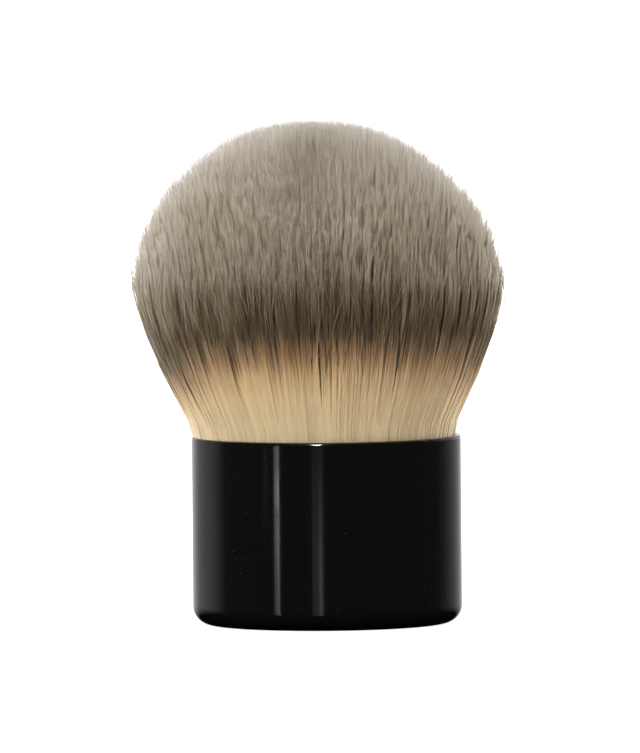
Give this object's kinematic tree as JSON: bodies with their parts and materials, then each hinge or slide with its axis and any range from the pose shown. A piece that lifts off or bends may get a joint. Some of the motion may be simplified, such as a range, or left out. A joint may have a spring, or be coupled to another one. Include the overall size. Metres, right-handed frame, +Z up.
{
  "type": "kabuki makeup brush",
  "caption": "Short, wide makeup brush: a weighted gloss-black handle with a dense domed head of synthetic hair, cream at the roots and grey at the tips.",
  "frame": {"origin": "centre of the underside, on the surface that the brush stands on", "axes": "+Z up along the brush's own axis, towards the hair; every level across is round, so X and Y are free"},
  "size_m": [0.048, 0.0479, 0.0651],
  "materials": {
    "handle": "gloss black",
    "tape": "matt white foam tape",
    "weight": "zinc-plated, turned",
    "ferrule": "drawn, bare",
    "glue": "cured adhesive",
    "resin": "cured amber epoxy",
    "roots": "resin-bonded hair, cut flat",
    "thread": "waxed white thread",
    "bristles": "fine synthetic hair, cream roots, dark band, grey tips"
  },
  "bodies": {
    "root": {"handle_shell": "handle", "weight_tape": "tape", "steel_weight": "weight", "ferrule_cup": "ferrule", "glue_ring": "glue", "resin_bed": "resin", "root_puck": "roots", "binding_thread": "thread", "bristle_head": "bristles"}
  },
  "joints": []
}
